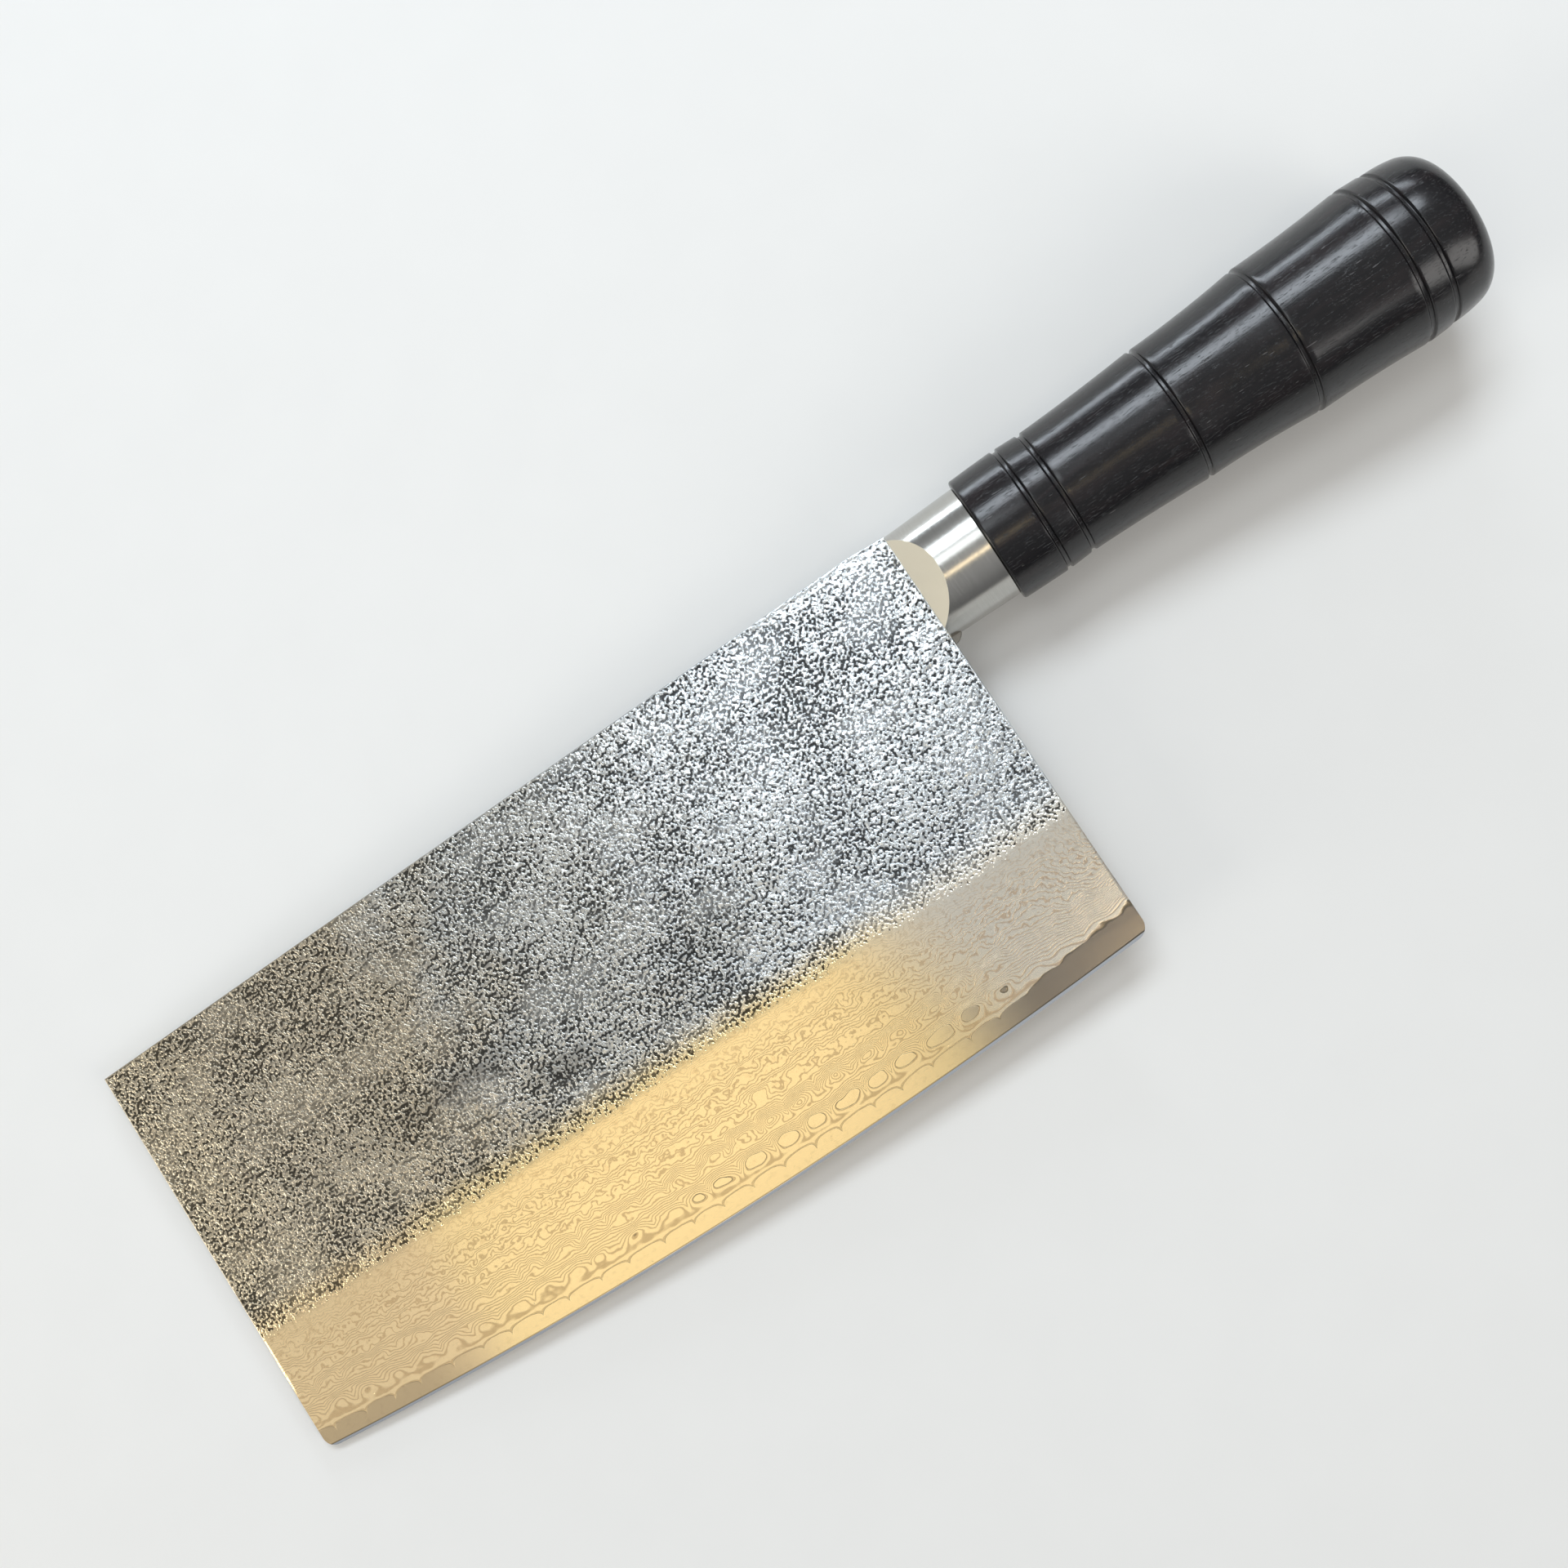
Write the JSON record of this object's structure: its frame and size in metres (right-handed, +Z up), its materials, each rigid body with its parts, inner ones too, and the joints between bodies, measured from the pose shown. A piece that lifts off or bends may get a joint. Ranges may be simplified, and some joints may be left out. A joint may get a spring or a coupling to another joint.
{
  "type": "chinese cleaver",
  "caption": "Rectangular kitchen cleaver with a pitted, layered steel blade, a round steel bolster and a turned dark wood handle, lying on its side.",
  "frame": {"origin": "on the ground under the middle of the knife's box, as it lies on its right side", "axes": "+X towards the blade's tip end, +Y towards the cutting edge, +Z up; the knife's own axis dips 2.9 degrees towards the tip end"},
  "size_m": [0.332, 0.1034, 0.0353],
  "materials": {
    "core_steel": "ground and lightly etched",
    "damascus_steel": "etched layered steel, pitted above, ground below",
    "bolster_steel": "turned and finely brushed",
    "tang_steel": "as drawn",
    "handle_wood": "waxed dark hardwood",
    "resin": "cast",
    "weld_metal": "as welded"
  },
  "bodies": {
    "root": {"core_plate": "core_steel", "left_cladding": "damascus_steel", "right_cladding": "damascus_steel", "bolster": "bolster_steel", "tang": "tang_steel", "handle": "handle_wood", "bedding_resin": "resin", "shoulder_weld": "weld_metal"}
  },
  "joints": []
}
